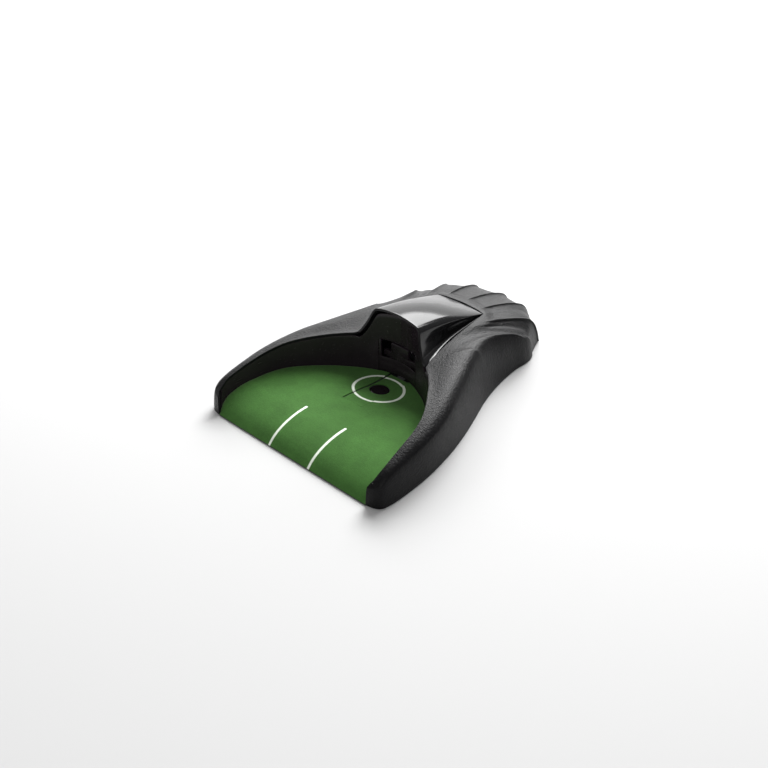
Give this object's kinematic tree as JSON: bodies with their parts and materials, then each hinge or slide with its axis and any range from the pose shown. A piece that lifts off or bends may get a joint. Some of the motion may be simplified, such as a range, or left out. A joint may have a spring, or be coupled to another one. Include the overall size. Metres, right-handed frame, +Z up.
{
  "type": "ball-return putting cup",
  "caption": "Battery putting cup with a green felt ramp between two arms, an arched hood, a pressure tongue and a kicker that rolls the ball back.",
  "frame": {"origin": "on the floor, under the centre of the bounding box", "axes": "+Y from the open mouth towards the ribbed tail, +Z up, +X to the right seen from the mouth looking in"},
  "size_m": [0.1988, 0.301, 0.0739],
  "materials": {
    "matt_black": "fine-grained moulded plastic",
    "gloss_black": "polished",
    "liner_black": "smooth, half gloss",
    "felt_green": "short-pile felt with white printed lines",
    "dome_black": "polished",
    "inner_black": "moulded, unfinished inside",
    "gear_white": "moulded",
    "steel": "plain",
    "motor_can": "plated can",
    "brass": "plain",
    "board_green": "solder resist",
    "cell_jacket": "printed jacket, left plain",
    "rubber": "matt",
    "red_plastic": "moulded"
  },
  "bodies": {
    "housing": {"base_plate": "matt_black", "battery_box": "inner_black", "case_screw_1": "steel", "case_screw_2": "steel", "case_screw_3": "steel", "case_screw_4": "steel", "case_screw_5": "steel", "case_screw_6": "steel", "cell_1": "cell_jacket", "cell_2": "cell_jacket", "cell_3": "cell_jacket", "cell_4": "cell_jacket", "circuit_board": "board_green", "contact_left": "brass", "contact_right": "brass", "cup_wall": "liner_black", "drive_motor": "motor_can", "gear_bracket": "steel", "green_felt": "felt_green", "guide_front": "inner_black", "guide_rear": "inner_black", "hood": "gloss_black", "housing_shell": "matt_black", "kicker_gear_shaft": "steel", "kicker_panel": "liner_black", "kicker_spring": "steel", "power_switch": "steel", "ramp_plate": "inner_black", "reduction_shaft": "steel", "rubber_foot_1": "rubber", "rubber_foot_2": "rubber", "rubber_foot_3": "rubber", "rubber_foot_4": "rubber", "rubber_foot_5": "rubber", "rubber_foot_6": "rubber", "tongue_pin": "steel", "tongue_spring": "steel", "trigger_switch": "inner_black"},
    "tongue": {"trigger_tongue": "inner_black", "tongue_felt": "felt_green", "target_dome": "dome_black"},
    "plunger": {"switch_plunger": "red_plastic"},
    "kicker": {"kicker_bar": "liner_black", "kicker_block": "liner_black", "kicker_rack": "gear_white"},
    "rack_gear": {"kicker_gear": "gear_white"},
    "reduction": {"reduction_gear": "gear_white"},
    "pinion": {"motor_pinion": "brass"},
    "power_knob": {"power_slider": "red_plastic"},
    "door": {"battery_door": "matt_black"}
  },
  "joints": [
    {"name": "tongue_hinge", "type": "hinge", "parent": "housing", "child": "tongue", "pos_m": [0, -0.0735, 0.0094], "axis": [-1, 0, 0], "range_deg": [0, 1.2], "stiffness_Nm_per_rad": 0.05, "springref_deg": -4.58},
    {"name": "plunger_slide", "type": "slide", "parent": "housing", "child": "plunger", "axis": [0, 0, -1], "range_m": [0, 0.0016]},
    {"name": "kicker_slide", "type": "slide", "parent": "housing", "child": "kicker", "axis": [0, -1, 0], "range_m": [0, 0.02]},
    {"name": "kicker_gear_spin", "type": "hinge", "parent": "housing", "child": "rack_gear", "pos_m": [-0.017, 0.028, 0.02], "axis": [0, 0, 1], "range_deg": [-96, 0]},
    {"name": "reduction_spin", "type": "hinge", "parent": "housing", "child": "reduction", "pos_m": [-0.0362, 0.028, 0.02], "axis": [0, 0, 1], "range_deg": [0, 287]},
    {"name": "pinion_spin", "type": "hinge", "parent": "housing", "child": "pinion", "pos_m": [-0.03876, 0.04622, 0.03], "axis": [0, 0, 1], "range_deg": [-1032, 0]},
    {"name": "power_slide", "type": "slide", "parent": "housing", "child": "power_knob", "axis": [1, 0, 0], "range_m": [0, 0.003]},
    {"name": "door_hinge", "type": "hinge", "parent": "housing", "child": "door", "pos_m": [0, 0.0634, 0.001], "axis": [-1, 0, 0], "range_deg": [0, 80]}
  ],
  "couplings": [
    {"joint": "plunger_slide", "follows": "tongue_hinge", "m_per_rad": 0.0705},
    {"joint": "kicker_gear_spin", "follows": "kicker_slide", "rad_per_m": -83.333},
    {"joint": "reduction_spin", "follows": "kicker_slide", "rad_per_m": 250},
    {"joint": "pinion_spin", "follows": "kicker_slide", "rad_per_m": -900}
  ]
}
